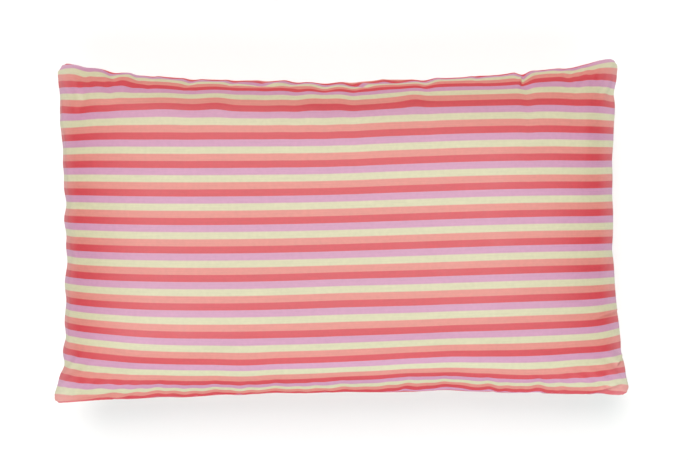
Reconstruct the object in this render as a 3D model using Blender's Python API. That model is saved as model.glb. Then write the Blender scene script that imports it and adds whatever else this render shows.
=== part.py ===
"""A rectangular cushion, filled and sewn shut all round, lying on its back.

Two panels meet at a knife-edge seam. Lengths are in metres. +X runs along the long
sides, +Y towards the upper edge, +Z out of the front, and the floor is at Z = 0.
"""

import math
from collections import namedtuple

import bmesh
import bpy
from mathutils import Vector

NAME = "cushion"
COLLECTION = "striped_cushion"

# Thickness, from the floor up to the seam and from there to the top of the front.
SEAM_HEIGHT = 0.046
FRONT_CROWN = 0.048

# The back lies flat inside these shares of its half sizes, which end just past a column
# and a row of the mesh. Beyond them the cloth curves up to the seam by the two powers.
REST_ALONG = 0.491
REST_ACROSS = 0.504
REST_POWER = 1.5
REST_ROOT = 0.6

# The panels' nominal half sizes, and the radius at which the seam turns each corner.
HALF_LENGTH = 0.250
HALF_WIDTH = 0.148
CORNER_RADIUS = 0.010

# How the seam leaves its plane: the corners droop, and the long run between waves a little.
CORNER_DROOP = 0.004
SEAM_WAVE = 0.0012
SEAM_WAVES_ROUND = 7

# Each edge of the seam. middle and the two corners are distances from the centre line,
# start at the negative end and end at the positive one. The powers bend the drawn-in
# curve between them. crown_power and crown_root shape the rise of the cloth from it.
SeamEdge = namedtuple(
    "SeamEdge",
    "middle start_corner end_corner start_power end_power crown_power crown_root",
)
UPPER = SeamEdge(0.1315, 0.1495, 0.1490, 2.8, 3.2, 6.7, 0.75)
LOWER = SeamEdge(0.1425, 0.1490, 0.1490, 2.4, 2.0, 6.3, 1.00)
LEFT = SeamEdge(0.2395, 0.2550, 0.2470, 5.0, 3.0, 3.4, 0.52)
RIGHT = SeamEdge(0.2390, 0.2550, 0.2470, 2.8, 3.2, 2.6, 0.48)

# Puckers, where the seam's thread gathers the cloth. place is along the edge, draw is how
# far the seam is pulled in, width is the half width of the trough and reach its length.
Pucker = namedtuple("Pucker", "place draw width reach")
UPPER_PUCKERS = (
    Pucker(-0.219, 0.0009, 0.006, 0.012),
    Pucker(-0.194, 0.0016, 0.006, 0.016),
    Pucker(-0.168, 0.0010, 0.008, 0.016),
    Pucker(-0.127, 0.0012, 0.010, 0.022),
    Pucker(-0.098, 0.0008, 0.008, 0.018),
    Pucker(-0.066, 0.0014, 0.008, 0.020),
    Pucker(-0.037, 0.0014, 0.008, 0.020),
    Pucker(-0.012, 0.0032, 0.015, 0.020),
    Pucker(0.016, 0.0022, 0.008, 0.024),
    Pucker(0.050, 0.0008, 0.008, 0.018),
    Pucker(0.074, 0.0014, 0.007, 0.018),
    Pucker(0.112, 0.0012, 0.009, 0.022),
    Pucker(0.130, 0.0009, 0.007, 0.018),
    Pucker(0.163, 0.0028, 0.007, 0.022),
    Pucker(0.197, 0.0010, 0.008, 0.016),
    Pucker(0.220, 0.0008, 0.006, 0.012),
)
LOWER_PUCKERS = (
    Pucker(-0.205, 0.0006, 0.008, 0.014),
    Pucker(-0.158, 0.0009, 0.010, 0.020),
    Pucker(-0.108, 0.0011, 0.009, 0.022),
    Pucker(-0.049, 0.0013, 0.009, 0.024),
    Pucker(0.003, 0.0007, 0.010, 0.020),
    Pucker(0.058, 0.0018, 0.011, 0.026),
    Pucker(0.104, 0.0018, 0.011, 0.020),
    Pucker(0.132, 0.0010, 0.009, 0.022),
    Pucker(0.172, 0.0011, 0.008, 0.018),
    Pucker(0.227, 0.0016, 0.006, 0.014),
)
LEFT_PUCKERS = (
    Pucker(-0.108, 0.0012, 0.006, 0.010),
    Pucker(-0.068, 0.0008, 0.007, 0.012),
    Pucker(-0.026, 0.0010, 0.008, 0.014),
    Pucker(0.018, 0.0007, 0.008, 0.012),
    Pucker(0.062, 0.0009, 0.008, 0.012),
    Pucker(0.104, 0.0007, 0.006, 0.010),
)
RIGHT_PUCKERS = (
    Pucker(-0.120, 0.0012, 0.006, 0.012),
    Pucker(-0.078, 0.0012, 0.007, 0.014),
    Pucker(-0.034, 0.0008, 0.008, 0.014),
    Pucker(0.012, 0.0009, 0.008, 0.012),
    Pucker(0.056, 0.0007, 0.008, 0.012),
    Pucker(0.100, 0.0009, 0.006, 0.010),
)
# A trough is deepest this far in from the seam, by this many times its draw.
TROUGH_PEAK = 0.009
TROUGH_DEPTH = 1.5

# The mesh of each panel, closer near the seam by the powers.
COLUMNS = 96
ROWS = 26
COLUMN_CROWDING = 1.25
ROW_CROWDING = 1.9

CLOTH_COLOUR = (0.78, 0.37, 0.36, 1.0)
CLOTH_ROUGHNESS = 0.82


def clear_scene():
    for thing in list(bpy.data.objects):
        bpy.data.objects.remove(thing, do_unlink=True)


def crowded(share, power):
    """A share from -1 to 1, moved so that an even series lies closer near both ends."""
    return math.copysign(1.0 - (1.0 - abs(share)) ** power, share)


def round_corner(along, across):
    """Pulls the panel's square corner in to its radius, in shares of the half sizes."""
    start_along = 1.0 - CORNER_RADIUS / HALF_LENGTH
    start_across = 1.0 - CORNER_RADIUS / HALF_WIDTH
    over_along = (abs(along) - start_along) / (1.0 - start_along)
    over_across = (abs(across) - start_across) / (1.0 - start_across)
    if over_along <= 0.0 or over_across <= 0.0:
        return along, across
    disc_along = over_along * math.sqrt(1.0 - over_across**2 / 2.0)
    disc_across = over_across * math.sqrt(1.0 - over_along**2 / 2.0)
    new_along = start_along + disc_along * (1.0 - start_along)
    new_across = start_across + disc_across * (1.0 - start_across)
    return math.copysign(new_along, along), math.copysign(new_across, across)


def seam_distance(edge, share):
    """Distance of the seam from the centre line, at a share from -1 to 1 along the edge."""
    if share < 0.0:
        return edge.middle + (edge.start_corner - edge.middle) * (-share) ** edge.start_power
    return edge.middle + (edge.end_corner - edge.middle) * share**edge.end_power


def crown_share(edge, share):
    """The crown's height from 1 at the centre to 0 at the seam."""
    return (1.0 - min(abs(share), 1.0) ** edge.crown_power) ** edge.crown_root


def pull(puckers, place, inward):
    """How far the puckers of one edge pull the cloth in, at a place along it."""
    total = 0.0
    for pucker in puckers:
        across = (place - pucker.place) / pucker.width
        total += pucker.draw * math.exp(-across * across - inward / pucker.reach)
    return total


def trough(drawn, inward):
    """How deep a pucker's trough is, from its draw and the distance in from the seam."""
    ratio = inward / TROUGH_PEAK
    return TROUGH_DEPTH * drawn * ratio * math.exp(1.0 - ratio)


def seam_lift(along, across):
    """The seam's own height above its plane, fading away towards the panel's middle."""
    rim = max(abs(along), abs(across)) ** 6
    corner = abs(along * across) ** 4
    turn = math.atan2(across, along)
    wave = SEAM_WAVE * math.sin(SEAM_WAVES_ROUND * turn + 0.6)
    return rim * (wave - CORNER_DROOP * corner)


def rest_share(share, rest):
    """The back's depth, 1 all over the patch that lies on the floor and 0 at the seam."""
    beyond = max(min(abs(share), 1.0) - rest, 0.0) / (1.0 - rest)
    return (1.0 - beyond**REST_POWER) ** REST_ROOT


def panel_point(along, across, front):
    """The place of one point of a panel, from its shares from -1 to 1 along X and Y."""
    side_edge, side_puckers = (RIGHT, RIGHT_PUCKERS) if along > 0 else (LEFT, LEFT_PUCKERS)
    long_edge, long_puckers = (UPPER, UPPER_PUCKERS) if across > 0 else (LOWER, LOWER_PUCKERS)
    plan_along, plan_across = round_corner(along, across)
    x_seam = seam_distance(side_edge, plan_across)
    y_seam = seam_distance(long_edge, plan_along)
    x = plan_along * x_seam
    y = plan_across * y_seam
    side_inward = x_seam - abs(x)
    long_inward = y_seam - abs(y)
    side_drawn = pull(side_puckers, y, side_inward)
    long_drawn = pull(long_puckers, x, long_inward)
    x -= math.copysign(side_drawn, along) * abs(plan_along)
    y -= math.copysign(long_drawn, across) * abs(plan_across)

    relief = trough(side_drawn, side_inward) + trough(long_drawn, long_inward)
    lift = seam_lift(along, across)
    if front:
        rise = crown_share(side_edge, along) * crown_share(long_edge, across)
        z = max(FRONT_CROWN * rise - relief * min(1.0, 3.0 * rise), 0.0) + lift
    else:
        fall = rest_share(along, REST_ALONG) * rest_share(across, REST_ACROSS)
        off_floor = 1.0 - fall
        depth = SEAM_HEIGHT * fall - relief * min(1.0, 3.0 * fall) * off_floor
        z = lift * off_floor - max(depth, 0.0)
    return Vector((x, y, z))


def panel(front):
    """One panel as a bmesh grid, bulged out from the seam's plane."""
    mesh = bmesh.new()
    bmesh.ops.create_grid(mesh, x_segments=COLUMNS, y_segments=ROWS, size=1.0)
    for vertex in mesh.verts:
        along = crowded(vertex.co.x, COLUMN_CROWDING)
        across = crowded(vertex.co.y, ROW_CROWDING)
        vertex.co = panel_point(along, across, front)
    if not front:
        bmesh.ops.reverse_faces(mesh, faces=mesh.faces)
    return mesh


def sewn_together():
    """Both panels as one closed mesh, joined at the seam and centred on the origin."""
    mesh = bpy.data.meshes.new(NAME)
    whole = bmesh.new()
    for front in (True, False):
        half = panel(front)
        half.to_mesh(mesh)
        half.free()
        whole.from_mesh(mesh)
    bmesh.ops.remove_doubles(whole, verts=whole.verts, dist=1e-6)
    lows = [min(vertex.co[axis] for vertex in whole.verts) for axis in (0, 1)]
    highs = [max(vertex.co[axis] for vertex in whole.verts) for axis in (0, 1)]
    middle = Vector(((lows[0] + highs[0]) / 2.0, (lows[1] + highs[1]) / 2.0, 0.0))
    bmesh.ops.translate(whole, verts=whole.verts, vec=-middle)
    whole.to_mesh(mesh)
    whole.free()
    mesh.shade_smooth()
    return mesh


def cloth_material():
    material = bpy.data.materials.new("cushion_cloth")
    material.use_nodes = True
    shader = material.node_tree.nodes["Principled BSDF"]
    shader.inputs["Base Color"].default_value = CLOTH_COLOUR
    shader.inputs["Roughness"].default_value = CLOTH_ROUGHNESS
    shader.inputs["Metallic"].default_value = 0.0
    return material


def build():
    clear_scene()
    collection = bpy.data.collections.new(COLLECTION)
    bpy.context.scene.collection.children.link(collection)
    mesh = sewn_together()
    mesh.materials.append(cloth_material())
    cushion = bpy.data.objects.new(NAME, mesh)
    cushion.location = (0.0, 0.0, SEAM_HEIGHT)
    collection.objects.link(cushion)


build()
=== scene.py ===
"""The looks of a striped rectangular cushion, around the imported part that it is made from.

Two panels of one striped cloth are sewn together at a knife-edge seam, whose thread
gathers them unevenly. Lengths are in metres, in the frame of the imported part: +X along the
long sides, +Y towards the upper edge, +Z out of the front, and the floor at Z = 0.
"""

import math
from collections import namedtuple

import bmesh
import bpy
import numpy as np
from mathutils import Matrix, Vector, noise


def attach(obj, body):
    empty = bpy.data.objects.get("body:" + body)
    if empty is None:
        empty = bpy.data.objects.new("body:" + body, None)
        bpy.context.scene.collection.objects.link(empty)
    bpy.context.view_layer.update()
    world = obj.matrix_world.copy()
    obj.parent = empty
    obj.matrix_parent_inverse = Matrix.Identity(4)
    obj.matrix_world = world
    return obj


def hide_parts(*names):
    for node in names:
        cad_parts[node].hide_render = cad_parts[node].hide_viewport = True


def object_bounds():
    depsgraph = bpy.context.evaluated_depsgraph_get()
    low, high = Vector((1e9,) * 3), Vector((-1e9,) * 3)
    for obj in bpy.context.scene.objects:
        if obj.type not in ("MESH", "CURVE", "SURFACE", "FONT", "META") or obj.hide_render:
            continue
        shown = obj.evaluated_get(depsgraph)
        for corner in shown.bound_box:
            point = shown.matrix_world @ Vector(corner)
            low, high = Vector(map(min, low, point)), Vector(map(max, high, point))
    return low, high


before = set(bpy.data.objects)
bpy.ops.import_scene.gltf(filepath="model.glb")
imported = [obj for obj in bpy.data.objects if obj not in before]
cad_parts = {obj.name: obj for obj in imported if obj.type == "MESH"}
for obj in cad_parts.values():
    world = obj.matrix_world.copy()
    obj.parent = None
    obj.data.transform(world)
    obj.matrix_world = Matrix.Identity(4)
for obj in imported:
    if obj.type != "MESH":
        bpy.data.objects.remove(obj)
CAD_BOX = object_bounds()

# The photograph's frame, and where its camera stands over the cushion: straight above but
# for two small tilts and a roll, in degrees. The target is a point of the seam's plane.
IMAGE_WIDTH = 690
SENSOR_WIDTH = 36.0
FOCAL_PIXELS = 1146.0
CAMERA_DISTANCE = 1.0
CAMERA_TARGET = (0.004, 0.0)
CAMERA_TILT = -0.37
CAMERA_TURN = -0.77
CAMERA_ROLL = -0.68

# Thickness, from the floor up to the seam and from there to the top of the front.
SEAM_HEIGHT = 0.046
FRONT_CROWN = 0.048

# The back lies flat inside these shares of its half sizes. Beyond them it curves up to the
# seam by the two powers.
REST_ALONG = 0.491
REST_ACROSS = 0.504
REST_POWER = 1.5
REST_ROOT = 0.6

# The panels' nominal half sizes, and the radius at which the seam turns each corner.
HALF_LENGTH = 0.250
HALF_WIDTH = 0.148
CORNER_RADIUS = 0.009

# How the seam leaves its plane: the corners droop, and the long run between waves a little.
# The start is the wave's phase in radians. The powers keep the droop in the corners and
# the whole lift near the seam.
CORNER_DROOP = 0.004
CORNER_POWER = 4
SEAM_WAVE = 0.0012
SEAM_WAVES_ROUND = 7
SEAM_WAVE_START = 0.6
RIM_POWER = 6

# Each edge of the seam. middle and the two corners are distances from the centre line,
# start at the negative end and end at the positive one. The powers bend the drawn-in
# curve between them. crown_power and crown_root shape the rise of the cloth from it.
SeamEdge = namedtuple(
    "SeamEdge",
    "middle start_corner end_corner start_power end_power crown_power crown_root",
)
UPPER = SeamEdge(0.1306, 0.1495, 0.1490, 2.9, 2.9, 6.7, 0.75)
LOWER = SeamEdge(0.1425, 0.1490, 0.1490, 2.4, 2.0, 6.3, 1.00)
LEFT = SeamEdge(0.2406, 0.2550, 0.2442, 6.0, 1.8, 3.4, 0.52)
RIGHT = SeamEdge(0.2390, 0.2542, 0.2463, 2.4, 3.2, 2.6, 0.48)

# Puckers, where the seam's thread gathers the cloth. place is along the edge, draw is how
# far the seam is pulled in, width is the half width of the trough and reach its length.
Pucker = namedtuple("Pucker", "place draw width reach")
UPPER_PUCKERS = (
    Pucker(-0.219, 0.0008, 0.006, 0.018),
    Pucker(-0.195, 0.0011, 0.006, 0.024),
    Pucker(-0.174, 0.0006, 0.006, 0.024),
    Pucker(-0.162, 0.0005, 0.007, 0.027),
    Pucker(-0.126, 0.0006, 0.010, 0.033),
    Pucker(-0.090, 0.0003, 0.008, 0.027),
    Pucker(-0.062, 0.0004, 0.008, 0.033),
    Pucker(-0.035, 0.0013, 0.008, 0.033),
    Pucker(-0.011, 0.0026, 0.014, 0.030),
    Pucker(0.012, 0.0018, 0.008, 0.034),
    Pucker(0.026, 0.0008, 0.009, 0.030),
    Pucker(0.055, 0.0004, 0.008, 0.027),
    Pucker(0.074, 0.0011, 0.007, 0.027),
    Pucker(0.160, 0.0017, 0.005, 0.030),
    Pucker(0.204, 0.0018, 0.013, 0.024),
    Pucker(0.220, 0.0005, 0.006, 0.018),
)
LOWER_PUCKERS = (
    Pucker(-0.205, 0.0004, 0.010, 0.016),
    Pucker(-0.157, 0.0006, 0.013, 0.022),
    Pucker(-0.107, 0.0006, 0.011, 0.024),
    Pucker(-0.058, 0.0006, 0.014, 0.026),
    Pucker(0.003, 0.0003, 0.012, 0.020),
    Pucker(0.056, 0.0005, 0.014, 0.030),
    Pucker(0.092, 0.0018, 0.022, 0.026),
    Pucker(0.126, 0.0005, 0.009, 0.022),
    Pucker(0.170, 0.0006, 0.009, 0.020),
    Pucker(0.227, 0.0008, 0.007, 0.014),
)
LEFT_PUCKERS = (
    Pucker(-0.114, 0.0020, 0.006, 0.012),
    Pucker(-0.089, 0.0012, 0.005, 0.010),
    Pucker(-0.058, 0.0010, 0.009, 0.012),
    Pucker(-0.024, 0.0022, 0.011, 0.014),
    Pucker(-0.002, 0.0021, 0.007, 0.012),
    Pucker(0.025, 0.0024, 0.008, 0.012),
    Pucker(0.047, 0.0013, 0.011, 0.014),
    Pucker(0.071, 0.0009, 0.010, 0.012),
    Pucker(0.121, 0.0011, 0.009, 0.010),
)
RIGHT_PUCKERS = (
    Pucker(-0.130, 0.0005, 0.006, 0.010),
    Pucker(-0.108, 0.0010, 0.009, 0.012),
    Pucker(-0.045, 0.0002, 0.008, 0.012),
    Pucker(-0.019, 0.0010, 0.007, 0.014),
    Pucker(0.032, 0.0011, 0.008, 0.012),
    Pucker(0.056, 0.0007, 0.008, 0.012),
    Pucker(0.116, 0.0013, 0.008, 0.012),
)
# A trough is deepest this far in from the seam, by this many times its draw.
TROUGH_PEAK = 0.008
TROUGH_DEPTH = 0.9

# Creases inside the front, beside the seam. along and across are the middle, turn is the
# angle from +X in degrees, length and width are half sizes. The cloth swells up again on
# the crease's upper or left side.
Crease = namedtuple("Crease", "along across turn length width depth")
CREASES = (
    Crease(0.2310, -0.0755, 10.0, 0.0090, 0.0013, 0.0022),
    Crease(0.2430, -0.1165, 50.0, 0.0045, 0.0014, 0.0020),
    Crease(0.2330, -0.1415, 17.0, 0.0120, 0.0013, 0.0022),
    Crease(-0.2190, 0.1110, 75.0, 0.0120, 0.0040, 0.0007),
    Crease(-0.0620, 0.1250, -3.0, 0.0110, 0.0012, 0.0018),
    Crease(0.0190, 0.1240, -8.0, 0.0080, 0.0012, 0.0020),
    Crease(0.0480, 0.1270, 2.0, 0.0120, 0.0012, 0.0018),
    Crease(0.1585, 0.1270, 65.0, 0.0060, 0.0015, 0.0016),
    Crease(0.2260, 0.0850, 86.0, 0.0350, 0.0080, 0.0012),
)
# The swelling's height as a share of the crease's depth, and its place in half widths.
SWELL_SHARE = 0.6
SWELL_PLACE = 1.7
# A crease is full where the cloth's normal leans up by more than this, and fades below it.
CREASE_LEAN = 0.5
# Beside a crease narrower than this the mesh is cut finer, out to so many of the crease's
# half lengths and half widths.
FINE_WIDTH = 0.003
CREASE_CUTS = 2
FINE_ALONG = 1.5
FINE_ACROSS = 4.5

# The mesh of each panel, closer near the seam by the powers, before it is subdivided once.
COLUMNS = 160
ROWS = 68
COLUMN_CROWDING = 1.15
ROW_CROWDING = 1.6

# The filling's lumps raise and lower the cloth by up to about this much, over this length.
LUMP_HEIGHT = 0.0006
LUMP_SIZE = 0.055

# Beside the seam the cloth is longer than the shape it lies on, by these shares along the
# long edges and along the sides, out to about this distance. The settling folds it up.
LONG_SPARE = 0.014
SIDE_SPARE = 0.010
SPARE_REACH = 0.025

# How firmly the filling and the seam hold the cloth while it settles, from 0 to 1.
HOLD_MIDDLE = 0.70
HOLD_BESIDE = 0.35
HOLD_SEAM = 0.68
HOLD_CORNER = 0.95
BESIDE_DISTANCE = 0.012
BESIDE_WIDTH = 0.022
CORNER_REACH = 0.040

# The cloth settles for so many frames, and no point moves further than the cap.
SETTLE_FRAMES = 12
SETTLE_CAP = 0.003
# A weld comes before the cloth, because without one Blender leaves the flat cut out. Its
# distance is too short to join any points.
WELD_DISTANCE = 1e-7
# The cloth's weight and stiffness and the filling's pressure, under Blender's own names.
CLOTH_SETTINGS = {
    "quality": 6,
    "mass": 0.05,
    "air_damping": 2.0,
    "tension_stiffness": 20.0,
    "compression_stiffness": 20.0,
    "shear_stiffness": 3.0,
    "bending_stiffness": 50.0,
    "use_pressure": True,
    "uniform_pressure_force": 0.25,
}

# Both panels roll in to the line of stitches, this deep and within this distance of it.
SEAM_GROOVE = 0.0005
SEAM_GROOVE_WIDTH = 0.0016

# The stripes run along the cushion. The first colour starts this far above the cloth's
# middle line at the middle of its length, and the edges between two are a little soft, by
# this share of a stripe. Towards the ends the cloth was cut a little off its grain, by the
# first, second, third and fourth power of the share along it.
STRIPE_WIDTH = 0.00593
STRIPE_START = 0.0061
STRIPE_BLUR = 0.06
GRAIN_DRIFT = (0.0042, 0.0043, -0.0049, -0.0015)

# The back is its own piece of the cloth. Its stripes are led to the front's at the two
# sides, within this distance.
SIDE_MATCH = 0.04

# The puckers pull the stripes along with them, by this many times their own pull.
GATHER_SLIP = 2.5

# Where the filling or a gather has dragged the cloth aside. along and across are the middle
# of the patch, shift is how far the stripes move up, width and height are its half sizes.
Drag = namedtuple("Drag", "along across shift width height")
DRAGS = (
    Drag(-0.235, 0.105, -0.0022, 0.026, 0.040),
    Drag(-0.241, 0.108, 0.0020, 0.012, 0.010),
    Drag(-0.243, 0.146, -0.0045, 0.012, 0.006),
    Drag(-0.215, 0.145, 0.0060, 0.028, 0.007),
    Drag(-0.172, 0.138, 0.0060, 0.024, 0.006),
    Drag(-0.186, 0.129, 0.0042, 0.014, 0.006),
    Drag(-0.130, 0.124, -0.0018, 0.014, 0.006),
    Drag(-0.145, 0.107, 0.0028, 0.042, 0.015),
    Drag(-0.072, 0.1265, -0.0075, 0.020, 0.0038),
    Drag(-0.102, 0.109, 0.0022, 0.012, 0.012),
    Drag(-0.020, 0.130, 0.0050, 0.024, 0.005),
    Drag(0.017, 0.1255, -0.0053, 0.009, 0.0036),
    Drag(0.049, 0.1275, -0.0075, 0.018, 0.0038),
    Drag(-0.012, 0.113, 0.0042, 0.020, 0.013),
    Drag(0.025, 0.123, -0.0015, 0.026, 0.008),
    Drag(0.064, 0.111, 0.0034, 0.014, 0.009),
    Drag(0.110, 0.141, -0.0040, 0.045, 0.006),
    Drag(0.135, 0.127, -0.0046, 0.027, 0.008),
    Drag(0.207, 0.133, 0.0022, 0.014, 0.008),
    Drag(0.225, 0.143, 0.0012, 0.030, 0.012),
    Drag(0.248, 0.112, -0.0018, 0.014, 0.020),
    Drag(0.248, 0.035, 0.0020, 0.022, 0.055),
    Drag(0.252, -0.095, 0.0050, 0.024, 0.040),
    Drag(-0.005, 0.070, -0.0008, 0.070, 0.040),
    Drag(0.000, -0.055, 0.0008, 0.050, 0.025),
    Drag(-0.210, -0.104, 0.0026, 0.038, 0.036),
    Drag(-0.250, -0.110, 0.0040, 0.026, 0.045),
    Drag(-0.220, -0.148, -0.0060, 0.040, 0.008),
    Drag(-0.075, -0.132, -0.0040, 0.075, 0.009),
    Drag(0.080, -0.108, 0.0014, 0.060, 0.016),
    Drag(0.058, -0.132, 0.0022, 0.020, 0.012),
    Drag(0.075, -0.143, -0.0020, 0.040, 0.005),
    Drag(0.010, -0.129, 0.0013, 0.050, 0.009),
    Drag(0.165, -0.127, -0.0026, 0.036, 0.010),
    Drag(-0.080, -0.112, -0.0015, 0.030, 0.016),
    Drag(0.205, -0.115, 0.0016, 0.025, 0.020),
    Drag(0.247, -0.136, 0.0045, 0.018, 0.016),
)

# Colours as linear light, and the stripes' order going up the front.
RED = (0.580, 0.048, 0.064, 1.0)
SALMON = (0.665, 0.228, 0.191, 1.0)
CREAM = (0.600, 0.565, 0.368, 1.0)
LILAC = (0.555, 0.270, 0.412, 1.0)
STRIPES = (RED, SALMON, CREAM, LILAC)
THREAD = (0.62, 0.30, 0.32, 1.0)

# The weave's threads, and the cloth's uneven patches. along and across are a patch's size,
# detail is how finely it is broken up, and depth is how far it changes the brightness.
THREAD_PITCH = 0.00045
Uneven = namedtuple("Uneven", "along across detail depth")
STREAKS = Uneven(0.030, 0.0005, 2.0, 0.10)
MOTTLE = Uneven(0.0035, 0.0035, 3.0, 0.07)
PATCHES = Uneven(0.028, 0.028, 3.0, 0.03)
# How rough the noise behind them is, and the two values that nearly all of it lies between.
NOISE_ROUGHNESS = 0.55
NOISE_LOW = 0.3
NOISE_HIGH = 0.7

# Painted sheen: the cloth's two ends are painted a little paler and cooler where the sheen
# would shine at the side rims. The share of the pale colour is full up to the start's
# distance from the seam, and fades away to nothing at the end's.
PAINTED_SHEEN = (0.80, 0.86, 0.90, 1.0)
PAINTED_SHEEN_START = 0.006
PAINTED_SHEEN_END = 0.028
PAINTED_SHEEN_SHARE = 0.12

# The stitches of the seam. A stitch fades out between these two distances from its middle,
# in shares of the pitch, and its thread's colour shows by the share.
STITCH_PITCH = 0.0028
STITCH_WIDTH = 0.0005
STITCH_FULL = 0.30
STITCH_END = 0.42
THREAD_SHARE = 0.3

# How far from the seam the cloth has worn lighter, and by how much at the seam.
WORN_WIDTH = 0.006
WORN_LIGHT = 0.03

# The cloth's gloss seen straight on, where it has turned away, and how far it has turned by
# then, from 0 to 1. Its roughness varies with the patches.
GLOSS = 0.95
EDGE_GLOSS = 0.05
GLOSS_TURN = 0.6
ROUGHNESS_LOW = 0.46
ROUGHNESS_HIGH = 0.54
SHEEN = 0.05
SHEEN_ROUGHNESS = 0.4

# How strongly the fine relief shades the surface, and the height it stands for.
Relief = namedtuple("Relief", "strength height")
WEAVE_RELIEF = Relief(0.25, 0.00004)
STREAK_RELIEF = Relief(0.30, 0.00010)
STITCH_RELIEF = Relief(0.60, 0.00025)

# The floor's half size and finish. It glows a little, so that it looks white all over.
FLOOR_SIZE = 6.0
FLOOR_COLOUR = (0.855, 0.868, 0.868, 1.0)
FLOOR_ROUGHNESS = 0.9
FLOOR_GLOSS = 0.1
FLOOR_GLOW = 0.08
WHITE = (1.0, 1.0, 1.0, 1.0)

# How bright the white backdrop looks to the camera, and how much light it gives.
BACKDROP_COLOUR = (0.94, 1.03, 1.03, 1.0)
BACKDROP_SEEN = 1.1
BACKDROP_LIGHT = 0.10

# The lamps. towards points from the cushion to the lamp, share is what the lamp adds to the
# brightness of white paper laid flat, and width is how wide it looks, in degrees. The last
# three say whether it throws shadows, adds gloss and lights the cloth's own colour.
LAMP_TINT = (0.96, 1.02, 1.02)
KEY_TINT = (1.10, 0.95, 0.93)
RIM_TINT = (1.00, 1.00, 0.85)
Lamp = namedtuple("Lamp", "name towards share width tint shadow gloss diffuse")
LAMPS = (
    Lamp("key", (-0.28, 0.75, 1.0), 0.335, 40.0, KEY_TINT, True, True, True),
    Lamp("top", (0.02, 0.0, 1.0), 0.365, 14.0, LAMP_TINT, True, False, True),
    Lamp("fill", (0.20, -1.90, 1.0), 0.300, 60.0, LAMP_TINT, False, False, True),
    Lamp("rim", (0.0, 1.60, 1.0), 0.080, 60.0, RIM_TINT, False, False, True),
    Lamp("softbox left", (-0.50, -0.30, 1.0), 0.330, 30.0, LAMP_TINT, False, True, False),
    Lamp("softbox right", (0.38, -0.06, 1.0), 0.290, 30.0, LAMP_TINT, False, True, False),
    Lamp("softbox low", (0.10, -3.60, 1.0), 0.072, 40.0, LAMP_TINT, False, True, False),
)

# A length that stands in for zero where something is divided by it.
TINY = 1e-12

# The places of a Mix node's colour sockets, whose names it gives to other sockets too.
MIX_FIRST = 6
MIX_SECOND = 7
MIX_RESULT = 2


def crowded(shares, power):
    """Shares from -1 to 1, moved so that an even series lies closer near both ends."""
    return np.sign(shares) * (1.0 - (1.0 - np.abs(shares)) ** power)


def round_corner(along, across):
    """Pulls the panel's square corner in to its radius, in shares of the half sizes."""
    start_along = 1.0 - CORNER_RADIUS / HALF_LENGTH
    start_across = 1.0 - CORNER_RADIUS / HALF_WIDTH
    over_along = np.maximum((np.abs(along) - start_along) / (1.0 - start_along), 0.0)
    over_across = np.maximum((np.abs(across) - start_across) / (1.0 - start_across), 0.0)
    inside = (over_along > 0.0) & (over_across > 0.0)
    disc_along = over_along * np.sqrt(1.0 - over_across**2 / 2.0)
    disc_across = over_across * np.sqrt(1.0 - over_along**2 / 2.0)
    new_along = start_along + disc_along * (1.0 - start_along)
    new_across = start_across + disc_across * (1.0 - start_across)
    return (
        np.where(inside, np.copysign(new_along, along), along),
        np.where(inside, np.copysign(new_across, across), across),
    )


def seam_distance(edge, share):
    """Distance of the seam from the centre line, at a share from -1 to 1 along the edge."""
    start = (edge.start_corner - edge.middle) * np.maximum(-share, 0.0) ** edge.start_power
    end = (edge.end_corner - edge.middle) * np.maximum(share, 0.0) ** edge.end_power
    return edge.middle + start + end


def crown_share(edge, share):
    """The crown's height from 1 at the centre to 0 at the seam."""
    return (1.0 - np.minimum(np.abs(share), 1.0) ** edge.crown_power) ** edge.crown_root


def rest_share(share, rest):
    """The back's depth, 1 all over the patch that lies on the floor and 0 at the seam."""
    beyond = np.maximum(np.minimum(np.abs(share), 1.0) - rest, 0.0) / (1.0 - rest)
    return (1.0 - beyond**REST_POWER) ** REST_ROOT


def pull(puckers, place, inward):
    """How far the puckers of one edge pull the cloth in, at a place along it."""
    total = np.zeros_like(place)
    for pucker in puckers:
        across = (place - pucker.place) / pucker.width
        total += pucker.draw * np.exp(-across * across - inward / pucker.reach)
    return total


def trough(drawn, inward):
    """How deep a pucker's trough is, from its draw and the distance in from the seam."""
    ratio = inward / TROUGH_PEAK
    return TROUGH_DEPTH * drawn * ratio * np.exp(1.0 - ratio)


def seam_lift(along, across):
    """The seam's own height above its plane, fading away towards the panel's middle."""
    rim = np.maximum(np.abs(along), np.abs(across)) ** RIM_POWER
    corner = np.abs(along * across) ** CORNER_POWER
    turn = np.arctan2(across, along)
    wave = SEAM_WAVE * np.sin(SEAM_WAVES_ROUND * turn + SEAM_WAVE_START)
    return rim * (wave - CORNER_DROOP * corner)


def by_side(share, below, above):
    """The value of the negative or the positive side, for each share."""
    return np.where(share > 0.0, above, below)


def surface_normals(points):
    """Unit normals of a panel's points, all on the upper side."""
    normals = np.cross(np.gradient(points, axis=0), np.gradient(points, axis=1))
    return normals / np.maximum(np.linalg.norm(normals, axis=2, keepdims=True), TINY)


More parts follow.
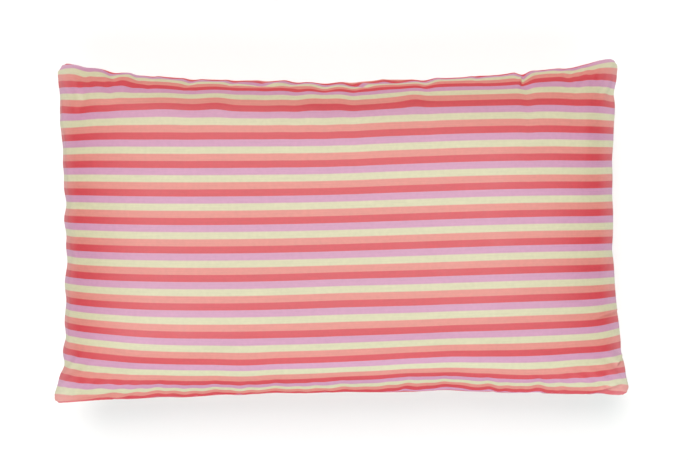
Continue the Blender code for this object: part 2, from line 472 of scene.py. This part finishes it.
def panel_points(along, across, front):
    """The places of a panel's points, from their shares from -1 to 1 along X and Y."""
    plan_along, plan_across = round_corner(along, across)
    x_seam = by_side(along, seam_distance(LEFT, plan_across), seam_distance(RIGHT, plan_across))
    y_seam = by_side(across, seam_distance(LOWER, plan_along), seam_distance(UPPER, plan_along))
    x = plan_along * x_seam
    y = plan_across * y_seam
    side_inward = x_seam - np.abs(x)
    long_inward = y_seam - np.abs(y)
    side_drawn = by_side(
        along, pull(LEFT_PUCKERS, y, side_inward), pull(RIGHT_PUCKERS, y, side_inward)
    )
    long_drawn = by_side(
        across, pull(LOWER_PUCKERS, x, long_inward), pull(UPPER_PUCKERS, x, long_inward)
    )
    x = x - np.copysign(side_drawn, along) * np.abs(plan_along)
    y = y - np.copysign(long_drawn, across) * np.abs(plan_across)

    relief = trough(side_drawn, side_inward) + trough(long_drawn, long_inward)
    lift = seam_lift(along, across)
    if front:
        side_rise = by_side(along, crown_share(LEFT, along), crown_share(RIGHT, along))
        long_rise = by_side(across, crown_share(LOWER, across), crown_share(UPPER, across))
        rise = side_rise * long_rise
        z = FRONT_CROWN * rise + lift
    else:
        fall = rest_share(along, REST_ALONG) * rest_share(across, REST_ACROSS)
        off_floor = 1.0 - fall
        relief = -relief * off_floor
        z = lift * off_floor - SEAM_HEIGHT * fall
    points = np.stack([x, y, z + SEAM_HEIGHT], axis=-1)
    return points - surface_normals(points) * relief[..., None]


def arc_lengths(points, axis):
    """Distance of each point along the cloth from the panel's middle line, on one axis."""
    steps = np.linalg.norm(np.diff(points, axis=axis), axis=2)
    start = np.zeros_like(np.take(steps, [0], axis=axis))
    lengths = np.concatenate([start, np.cumsum(steps, axis=axis)], axis=axis)
    middle = np.take(lengths, [lengths.shape[axis] // 2], axis=axis)
    return lengths - middle


def seam_distances(points):
    """Distances along the cloth from each point to the nearer long edge and nearer side."""
    down_column = arc_lengths(points, 1)
    along_row = arc_lengths(points, 0)
    to_long = np.minimum(down_column[:, -1:] - down_column, down_column - down_column[:, :1])
    to_side = np.minimum(along_row[-1:, :] - along_row, along_row - along_row[:1, :])
    return to_long, to_side


def grooved(points):
    """The points moved in to the line of stitches where they lie beside the seam."""
    to_long, to_side = seam_distances(points)
    moved = points.copy()
    side_groove = SEAM_GROOVE * np.exp(-((to_side / SEAM_GROOVE_WIDTH) ** 2))
    long_groove = SEAM_GROOVE * np.exp(-((to_long / SEAM_GROOVE_WIDTH) ** 2))
    moved[..., 0] -= np.sign(points[..., 0]) * side_groove
    moved[..., 1] -= np.sign(points[..., 1]) * long_groove
    return moved


def panel_grid():
    """The shares along and across of every point of a panel's grid."""
    along = crowded(np.linspace(-1.0, 1.0, COLUMNS + 1), COLUMN_CROWDING)
    across = crowded(np.linspace(-1.0, 1.0, ROWS + 1), ROW_CROWDING)
    return np.meshgrid(along, across, indexing="ij")


def off_grain(along_row):
    """How far the stripes lie above their straight line, at a distance along the cloth."""
    share = along_row / HALF_LENGTH
    return sum(drift * share**power for power, drift in enumerate(GRAIN_DRIFT, start=1))


def quads(index):
    """The four corners of every face of a panel's grid."""
    corners = [index[:-1, :-1], index[1:, :-1], index[1:, 1:], index[:-1, 1:]]
    return np.stack(corners, axis=-1).reshape(-1, 4)


def seam_mask(shape):
    """True for the points of a panel's grid that lie on the seam."""
    mask = np.zeros(shape, bool)
    mask[[0, -1], :] = True
    mask[:, [0, -1]] = True
    return mask


def joined(front, back):
    """One array of what both panels' points have, in the order of the sewn mesh."""
    inside = ~seam_mask(front.shape[:2])
    return np.concatenate([front.reshape(-1, *front.shape[2:]), back[inside]])


def parted(points, shape):
    """The points of the front and of the back, each as a grid, from their joined array."""
    on_seam = seam_mask(shape)
    front = points[: on_seam.size].reshape(*shape, 3)
    back = front.copy()
    back[~on_seam] = points[on_seam.size :]
    return front, back


def add_layers(mesh, index, layers):
    """Gives the sewn mesh its UV layers, from their values at each point of both panels."""
    front_corners = quads(index).ravel()
    back_corners = quads(index)[:, ::-1].ravel()
    for name, (on_front, on_back) in layers.items():
        on_front_corners = on_front.reshape(-1, 2)[front_corners]
        on_back_corners = on_back.reshape(-1, 2)[back_corners]
        values = np.concatenate([on_front_corners, on_back_corners])
        layer = mesh.uv_layers.new(name=name)
        layer.data.foreach_set("uv", values.astype(np.float32).ravel())


def sewn_mesh(front, back, layers):
    """One closed mesh of both panels, which share the points of the seam.

    layers holds each UV layer's name, with its values on the front and on the back.
    """
    on_seam = seam_mask(front.shape[:2])
    front_index = np.arange(on_seam.size).reshape(on_seam.shape)
    back_index = front_index.copy()
    back_index[~on_seam] = on_seam.size + np.arange(np.count_nonzero(~on_seam))
    faces = np.concatenate([quads(front_index), quads(back_index)[:, ::-1]])
    mesh = bpy.data.meshes.new("striped_cover")
    mesh.from_pydata(joined(front, back).tolist(), [], faces.tolist())
    add_layers(mesh, front_index, layers)
    mesh.shade_smooth()
    mesh.update()
    return mesh


def flat_cut(points):
    """The panel's cloth laid flat, with some to spare beside the seam."""
    to_long, to_side = seam_distances(points)
    long_spare = 1.0 + LONG_SPARE * np.exp(-((to_long / SPARE_REACH) ** 2))
    side_spare = 1.0 + SIDE_SPARE * np.exp(-((to_side / SPARE_REACH) ** 2))
    flat_x = arc_lengths(points, 0) * long_spare
    flat_y = arc_lengths(points, 1) * side_spare
    return np.stack([flat_x, flat_y, np.zeros_like(flat_x)], axis=-1)


def hold_weights(points):
    """How firmly each point of a panel is held in its place while the cloth settles."""
    to_long, to_side = seam_distances(points)
    to_seam = np.minimum(to_long, to_side)
    beside = np.exp(-(((to_seam - BESIDE_DISTANCE) / BESIDE_WIDTH) ** 2))
    weights = HOLD_MIDDLE + (HOLD_BESIDE - HOLD_MIDDLE) * beside
    weights[seam_mask(weights.shape)] = HOLD_SEAM
    corner = np.exp(-(((to_long + to_side) / CORNER_REACH) ** 2))
    return weights + (HOLD_CORNER - weights) * corner


def vertex_array(values, name):
    """One row of three numbers for each vertex or vertex normal."""
    rows = np.empty(len(values) * 3)
    values.foreach_get(name, rows)
    return rows.reshape(-1, 3)


def add_cloth(thing, cut):
    """Gives the sewn cover its Cloth modifier, which relaxes it towards its flat cut."""
    weld = thing.modifiers.new("weld", "WELD")
    weld.merge_threshold = WELD_DISTANCE
    cloth = thing.modifiers.new("cloth", "CLOTH")
    cloth.settings.rest_shape_key = cut
    cloth.settings.vertex_group_mass = "hold"
    for name, value in CLOTH_SETTINGS.items():
        setattr(cloth.settings, name, value)
    cloth.settings.effector_weights.gravity = 0.0
    cloth.collision_settings.use_collision = False
    cloth.point_cache.frame_start = 1
    cloth.point_cache.frame_end = SETTLE_FRAMES


def settling_cover(front, back):
    """The sewn cover as an object that is ready to settle."""
    thing = bpy.data.objects.new("settling", sewn_mesh(front, back, {}))
    bpy.context.scene.collection.objects.link(thing)
    thing.shape_key_add(name="sewn", from_mix=False)
    cut = thing.shape_key_add(name="cut", from_mix=False)
    cut.value = 0.0
    cut_points = joined(flat_cut(front), flat_cut(back))
    cut.data.foreach_set("co", cut_points.astype(np.float32).ravel())
    hold = thing.vertex_groups.new(name="hold")
    weights = joined(hold_weights(front), hold_weights(back))
    for index, weight in enumerate(weights.tolist()):
        hold.add([index], weight, "REPLACE")
    add_cloth(thing, cut)
    return thing


def settled(front, back):
    """Both panels after their spare cloth has folded up beside the seam."""
    thing = settling_cover(front, back)
    for frame_number in range(1, SETTLE_FRAMES + 1):
        bpy.context.scene.frame_set(frame_number)
    done = thing.evaluated_get(bpy.context.evaluated_depsgraph_get())
    places = vertex_array(done.data.vertices, "co")
    bpy.data.objects.remove(thing)
    bpy.context.scene.frame_set(1)

    start = joined(front, back)
    moves = places - start
    lengths = np.linalg.norm(moves, axis=1, keepdims=True)
    moved = start + moves * np.minimum(1.0, SETTLE_CAP / np.maximum(lengths, TINY))
    return parted(moved, front.shape[:2])


def subdivided(mesh):
    """The mesh after one smooth subdivision."""
    thing = bpy.data.objects.new("smoothing", mesh)
    bpy.context.scene.collection.objects.link(thing)
    smooth = thing.modifiers.new("smooth", "SUBSURF")
    smooth.levels = 1
    smooth.render_levels = 1
    done = thing.evaluated_get(bpy.context.evaluated_depsgraph_get())
    finer = bpy.data.meshes.new_from_object(done)
    bpy.data.objects.remove(thing)
    return finer


def place_on_crease(crease, points):
    """How far points lie along a crease and off to its side, in its half sizes."""
    turn = math.radians(crease.turn)
    on_x = points[:, 0] - crease.along
    on_y = points[:, 1] - crease.across
    on_line = (on_x * math.cos(turn) + on_y * math.sin(turn)) / crease.length
    off_line = (on_y * math.cos(turn) - on_x * math.sin(turn)) / crease.width
    return on_line, off_line


def beside_creases(points, normals):
    """True for the points of the front that lie beside a narrow crease."""
    near = np.zeros(len(points), bool)
    for crease in CREASES:
        if crease.width > FINE_WIDTH:
            continue
        on_line, off_line = place_on_crease(crease, points)
        near |= (np.abs(on_line) < FINE_ALONG) & (np.abs(off_line) < FINE_ACROSS)
    return near & (normals[:, 2] > 0.0)


def refined(mesh):
    """The mesh with finer faces beside each narrow crease of the front."""
    points = vertex_array(mesh.vertices, "co")
    normals = vertex_array(mesh.vertex_normals, "vector")
    near = beside_creases(points, normals).tolist()
    work = bmesh.new()
    work.from_mesh(mesh)
    edges = [edge for edge in work.edges if all(near[end.index] for end in edge.verts)]
    bmesh.ops.subdivide_edges(work, edges=edges, cuts=CREASE_CUTS, use_grid_fill=True)
    bmesh.ops.triangulate(work, faces=[face for face in work.faces if len(face.verts) > 4])
    work.to_mesh(mesh)
    work.free()
    mesh.update()
    return mesh


def creased(mesh):
    """Presses the creases into the front of the finished cover."""
    points = vertex_array(mesh.vertices, "co")
    normals = vertex_array(mesh.vertex_normals, "vector")
    total = np.zeros(len(points))
    for crease in CREASES:
        on_line, off_line = place_on_crease(crease, points)
        swell = SWELL_SHARE * np.exp(-((off_line - SWELL_PLACE) ** 2))
        valley = np.exp(-(off_line**2)) - swell
        total += crease.depth * valley * np.exp(-(on_line**2))
    total *= np.clip(normals[:, 2] / CREASE_LEAN, 0.0, 1.0)
    moved = points - normals * total[:, None]
    mesh.vertices.foreach_set("co", moved.astype(np.float32).ravel())
    mesh.update()
    return mesh


def lumped(points):
    """The front's points, raised and lowered a little by the lumps of the filling."""
    to_long, to_side = seam_distances(points)
    inside = np.minimum(np.minimum(to_long, to_side) / LUMP_SIZE, 1.0)
    places = points[..., :2].reshape(-1, 2).tolist()
    heights = [noise.noise(Vector((x, y, 0.0)) / LUMP_SIZE) for x, y in places]
    moved = points.copy()
    moved[..., 2] += LUMP_HEIGHT * np.reshape(heights, inside.shape) * inside
    return moved


def dragged(points):
    """How far the stripes are dragged up at each point of a panel."""
    total = np.zeros(points.shape[:2])
    for drag in DRAGS:
        along = (points[..., 0] - drag.along) / drag.width
        across = (points[..., 1] - drag.across) / drag.height
        total += drag.shift * np.exp(-along * along - across * across)
    return total


def gathered(points):
    """How far the long edges' puckers pull the stripes up at each point of a panel."""
    to_long = seam_distances(points)[0]
    down = pull(UPPER_PUCKERS, points[..., 0], to_long)
    up = pull(LOWER_PUCKERS, points[..., 0], to_long)
    return GATHER_SLIP * by_side(points[..., 1], up, -down)


def cloth_layer(points):
    """Where each point of a panel lies on the striped cloth, along and across it."""
    along_row = arc_lengths(points, 0)
    up_column = arc_lengths(points, 1)
    moved_up = off_grain(along_row) + dragged(points) + gathered(points)
    return np.stack([along_row, up_column - moved_up], axis=-1)


def back_cloth_layer(front, back):
    """Where the back lies on its own striped cloth, which meets the front's at both sides."""
    along_row = arc_lengths(back, 0)
    up_column = arc_lengths(back, 1)
    gap = cloth_layer(front)[..., 1] - up_column
    from_left = (along_row - along_row[:1]) / SIDE_MATCH
    from_right = (along_row[-1:] - along_row) / SIDE_MATCH
    matched = gap[:1] * np.exp(-(from_left**2)) + gap[-1:] * np.exp(-(from_right**2))
    return np.stack([along_row, up_column + matched], axis=-1)


def seam_layer(points):
    """The distance along the nearest seam and away from it, at each point of a panel."""
    to_long, to_side = seam_distances(points)
    along = np.where(to_long < to_side, points[..., 0], points[..., 1])
    return np.stack([along, np.minimum(to_long, to_side)], axis=-1)


def edge_layer(points):
    """The distances from the nearer side and the nearer long edge, at each point of a panel."""
    to_long, to_side = seam_distances(points)
    return np.stack([to_side, to_long], axis=-1)


def cover_mesh():
    """The whole cover, centred on the CAD box.

    Its three UV layers give each place on the striped cloth, along and from the seam, and
    from the sides and the long edges.
    """
    along, across = panel_grid()
    front = lumped(panel_points(along, across, True))
    back = panel_points(along, across, False)
    layers = {
        "cloth": (cloth_layer(front), back_cloth_layer(front, back)),
        "seam": (seam_layer(front), seam_layer(back)),
        "edges": (edge_layer(front), edge_layer(back)),
    }
    front, back = settled(front, back)
    front = grooved(front)
    back = grooved(back)
    everything = joined(front, back)
    middle = (everything.min(axis=0) + everything.max(axis=0)) / 2.0
    wanted = np.array((CAD_BOX[0] + CAD_BOX[1]) / 2.0)
    shift = np.array([wanted[0] - middle[0], wanted[1] - middle[1], 0.0])
    return creased(refined(subdivided(sewn_mesh(front + shift, back + shift, layers))))


def linked(tree, kind, inputs=None, **settings):
    """A new shader node, with its settings made and its inputs set or linked."""
    node = tree.nodes.new(kind)
    for name, value in settings.items():
        setattr(node, name, value)
    for name, value in (inputs or {}).items():
        if isinstance(value, bpy.types.NodeSocket):
            tree.links.new(value, node.inputs[name])
        else:
            node.inputs[name].default_value = value
    return node


def maths(tree, operation, first, second=0.0, third=0.0):
    """The output of a Math node."""
    node = linked(tree, "ShaderNodeMath", {0: first, 1: second, 2: third}, operation=operation)
    return node.outputs[0]


def stripe_colour(tree, across_cloth):
    """The stripe's colour, from the distance across the cloth in metres."""
    above_first = maths(tree, "SUBTRACT", across_cloth, STRIPE_START)
    repeat = len(STRIPES) * STRIPE_WIDTH
    share = maths(tree, "FRACT", maths(tree, "DIVIDE", above_first, repeat))
    ramp = linked(tree, "ShaderNodeValToRGB", {"Fac": share})
    stops = ramp.color_ramp.elements
    stops[0].color = STRIPES[0]
    stops[1].color = STRIPES[-1]
    blur = STRIPE_BLUR / len(STRIPES)
    for number, (below, above) in enumerate(zip(STRIPES, STRIPES[1:]), start=1):
        edge = number / len(STRIPES)
        stops.new(edge - blur).color = below
        stops.new(edge + blur).color = above
    return ramp.outputs["Color"]


def product(tree, first, second):
    """Two vectors or colours multiplied, part by part."""
    inputs = {0: first, 1: second}
    return linked(tree, "ShaderNodeVectorMath", inputs, operation="MULTIPLY").outputs[0]


def mapped(tree, value, low, high, to_low, to_high):
    """A value moved from one range to another, and held inside it."""
    ends = {"From Min": low, "From Max": high, "To Min": to_low, "To Max": to_high}
    return linked(tree, "ShaderNodeMapRange", {"Value": value, **ends}).outputs["Result"]


def varied(tree, value, depth):
    """A brightness factor about 1 from a noise value, lighter and darker by half the depth."""
    return mapped(tree, value, NOISE_LOW, NOISE_HIGH, 1.0 - depth / 2.0, 1.0 + depth / 2.0)


def uneven_value(tree, cloth, kind):
    """A noise value from 0 to 1 over the cloth's coordinates, in patches of the kind's size."""
    inputs = {
        "Vector": product(tree, cloth, (1.0 / kind.along, 1.0 / kind.across, 1.0)),
        "Scale": 1.0,
        "Detail": kind.detail,
        "Roughness": NOISE_ROUGHNESS,
    }
    return linked(tree, "ShaderNodeTexNoise", inputs).outputs["Fac"]


def shaded(tree, colour, brightness):
    """A colour made lighter or darker by a factor."""
    factors = {"X": brightness, "Y": brightness, "Z": brightness}
    return product(tree, colour, linked(tree, "ShaderNodeCombineXYZ", factors).outputs[0])


def mixed(tree, share, first, second):
    """The first colour with this share of the second."""
    node = tree.nodes.new("ShaderNodeMix")
    node.data_type = "RGBA"
    tree.links.new(share, node.inputs["Factor"])
    tree.links.new(first, node.inputs[MIX_FIRST])
    node.inputs[MIX_SECOND].default_value = second
    return node.outputs[MIX_RESULT]


def weave_height(tree, along, across):
    """The height of a plain weave, from 0 to 1: each thread goes over and under in turn."""
    turn = math.pi / THREAD_PITCH
    wave_along = maths(tree, "SINE", maths(tree, "MULTIPLY", along, turn))
    wave_across = maths(tree, "SINE", maths(tree, "MULTIPLY", across, turn))
    return maths(tree, "MULTIPLY_ADD", maths(tree, "MULTIPLY", wave_along, wave_across), 0.5, 0.5)


def stitch_mask(tree, along_seam, from_seam):
    """1 on the seam's stitches, 0 between them and away from the seam."""
    place = maths(tree, "FRACT", maths(tree, "DIVIDE", along_seam, STITCH_PITCH))
    from_middle = maths(tree, "ABSOLUTE", maths(tree, "SUBTRACT", place, 0.5))
    on_stitch = mapped(tree, from_middle, STITCH_FULL, STITCH_END, 1.0, 0.0)
    on_seam = mapped(tree, from_seam, 0.5 * STITCH_WIDTH, STITCH_WIDTH, 1.0, 0.0)
    return maths(tree, "MULTIPLY", on_stitch, on_seam)


def relieved(tree, height, relief, normal=None):
    """The shading normal over a fine relief, whose height goes from 0 to 1."""
    inputs = {"Height": height, "Strength": relief.strength, "Distance": relief.height}
    if normal is not None:
        inputs["Normal"] = normal
    return linked(tree, "ShaderNodeBump", inputs).outputs["Normal"]


def layer_parts(tree, name):
    """A UV layer as one vector, with its two coordinates."""
    vector = linked(tree, "ShaderNodeUVMap", uv_map=name).outputs["UV"]
    parts = linked(tree, "ShaderNodeSeparateXYZ", {"Vector": vector}).outputs
    return vector, parts["X"], parts["Y"]


def uneven_light(tree, streaks, mottle, patches, from_seam):
    """How light the cloth is, about 1, from its uneven patches and its wear at the seam."""
    worn = mapped(tree, from_seam, 0.0, WORN_WIDTH, WORN_LIGHT, 0.0)
    light = maths(tree, "ADD", varied(tree, patches, PATCHES.depth), worn)
    light = maths(tree, "MULTIPLY", light, varied(tree, streaks, STREAKS.depth))
    return maths(tree, "MULTIPLY", light, varied(tree, mottle, MOTTLE.depth))


def set_gloss(tree, inputs, patches):
    """Gives the cloth its soft sheen, and a gloss that fades where the cloth turns away."""
    facing = linked(tree, "ShaderNodeLayerWeight", {"Blend": 0.5}).outputs["Facing"]
    gloss = mapped(tree, facing, 0.0, GLOSS_TURN, GLOSS, EDGE_GLOSS)
    tree.links.new(gloss, inputs["Specular IOR Level"])
    rough = mapped(tree, patches, NOISE_LOW, NOISE_HIGH, ROUGHNESS_LOW, ROUGHNESS_HIGH)
    tree.links.new(rough, inputs["Roughness"])
    inputs["Sheen Weight"].default_value = SHEEN
    inputs["Sheen Roughness"].default_value = SHEEN_ROUGHNESS


def cover_material():
    """Smooth woven polyester: four stripes, streaks along the threads, a soft sheen, and a
    painted sheen that pales the two ends.
    """
    material = bpy.data.materials.new("cover_cloth")
    material.use_nodes = True
    tree = material.node_tree
    inputs = tree.nodes["Principled BSDF"].inputs
    cloth, along_cloth, across_cloth = layer_parts(tree, "cloth")
    along_seam, from_seam = layer_parts(tree, "seam")[1:]
    from_side = layer_parts(tree, "edges")[1]
    streaks = uneven_value(tree, cloth, STREAKS)
    mottle = uneven_value(tree, cloth, MOTTLE)
    patches = uneven_value(tree, cloth, PATCHES)
    stitches = stitch_mask(tree, along_seam, from_seam)

    light = uneven_light(tree, streaks, mottle, patches, from_seam)
    surface_colour = shaded(tree, stripe_colour(tree, across_cloth), light)
    # Painted sheen: near the sides the colour is mixed towards a pale, cool colour that stands
    # for their shine.
    painted_sheen = mapped(tree, from_side, PAINTED_SHEEN_START, PAINTED_SHEEN_END, PAINTED_SHEEN_SHARE, 0.0)
    surface_colour = mixed(tree, painted_sheen, surface_colour, PAINTED_SHEEN)
    sewn = mixed(tree, maths(tree, "MULTIPLY", stitches, THREAD_SHARE), surface_colour, THREAD)
    tree.links.new(sewn, inputs["Base Color"])

    normal = relieved(tree, weave_height(tree, along_cloth, across_cloth), WEAVE_RELIEF)
    normal = relieved(tree, streaks, STREAK_RELIEF, normal)
    normal = relieved(tree, stitches, STITCH_RELIEF, normal)
    tree.links.new(normal, inputs["Normal"])
    set_gloss(tree, inputs, patches)
    return material


def floor():
    """A plain white floor that fades into a white backdrop."""
    mesh = bpy.data.meshes.new("floor")
    corners = [(-1.0, -1.0), (1.0, -1.0), (1.0, 1.0), (-1.0, 1.0)]
    points = [(FLOOR_SIZE * x, FLOOR_SIZE * y, 0.0) for x, y in corners]
    mesh.from_pydata(points, [], [(0, 1, 2, 3)])
    thing = bpy.data.objects.new("floor", mesh)
    bpy.context.scene.collection.objects.link(thing)
    material = bpy.data.materials.new("floor_paper")
    material.use_nodes = True
    inputs = material.node_tree.nodes["Principled BSDF"].inputs
    inputs["Base Color"].default_value = FLOOR_COLOUR
    inputs["Roughness"].default_value = FLOOR_ROUGHNESS
    inputs["Specular IOR Level"].default_value = FLOOR_GLOSS
    inputs["Emission Color"].default_value = WHITE
    inputs["Emission Strength"].default_value = FLOOR_GLOW
    mesh.materials.append(material)


def soft_sun(lamp):
    """Lights the scene with one far, broad lamp."""
    direction = Vector(lamp.towards).normalized()
    data = bpy.data.lights.new(lamp.name, "SUN")
    data.energy = lamp.share * math.pi / direction.z
    data.angle = math.radians(lamp.width)
    data.color = lamp.tint
    data.use_shadow = lamp.shadow
    light = bpy.data.objects.new(lamp.name, data)
    light.visible_glossy = lamp.gloss
    light.visible_diffuse = lamp.diffuse
    light.rotation_mode = "QUATERNION"
    light.rotation_quaternion = (-direction).to_track_quat("-Z", "Y")
    bpy.context.scene.collection.objects.link(light)


def backdrop():
    """A world that looks white above the floor's edge, but adds little light."""
    world = bpy.data.worlds.new("studio")
    world.use_nodes = True
    tree = world.node_tree
    background = tree.nodes["Background"]
    background.inputs["Color"].default_value = BACKDROP_COLOUR
    seen = linked(tree, "ShaderNodeLightPath").outputs["Is Camera Ray"]
    strength = maths(tree, "MULTIPLY_ADD", seen, BACKDROP_SEEN - BACKDROP_LIGHT, BACKDROP_LIGHT)
    tree.links.new(strength, background.inputs["Strength"])
    return world


def lights():
    """Soft, even studio light: the lamps, and a white world around them."""
    for lamp in LAMPS:
        soft_sun(lamp)
    bpy.context.scene.world = backdrop()


def camera():
    """The photograph's camera, looking down at the cushion's face."""
    tilt = math.radians(CAMERA_TILT)
    turn = math.radians(CAMERA_TURN)
    roll = math.radians(CAMERA_ROLL)
    back = Vector(
        (math.sin(turn) * math.cos(tilt), -math.sin(tilt), math.cos(turn) * math.cos(tilt))
    )
    level = Vector((0.0, 1.0, 0.0)).cross(back).normalized()
    upright = back.cross(level)
    right = level * math.cos(roll) + upright * math.sin(roll)
    up = upright * math.cos(roll) - level * math.sin(roll)
    data = bpy.data.cameras.new("camera")
    data.sensor_width = SENSOR_WIDTH
    data.lens = FOCAL_PIXELS / IMAGE_WIDTH * SENSOR_WIDTH
    thing = bpy.data.objects.new("camera", data)
    target = Vector((CAMERA_TARGET[0], CAMERA_TARGET[1], SEAM_HEIGHT))
    turned = Matrix((right, up, back)).transposed().to_4x4()
    thing.matrix_world = Matrix.Translation(target + back * CAMERA_DISTANCE) @ turned
    bpy.context.scene.collection.objects.link(thing)
    bpy.context.scene.camera = thing


def cover():
    """The striped cover, which stands for the CAD model's cushion."""
    mesh = cover_mesh()
    mesh.materials.append(cover_material())
    thing = bpy.data.objects.new("striped_cover", mesh)
    bpy.context.scene.collection.objects.link(thing)
    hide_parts("cushion")
    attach(thing, "root")


cover()
floor()
lights()
camera()
bpy.context.scene.view_settings.view_transform = "Standard"
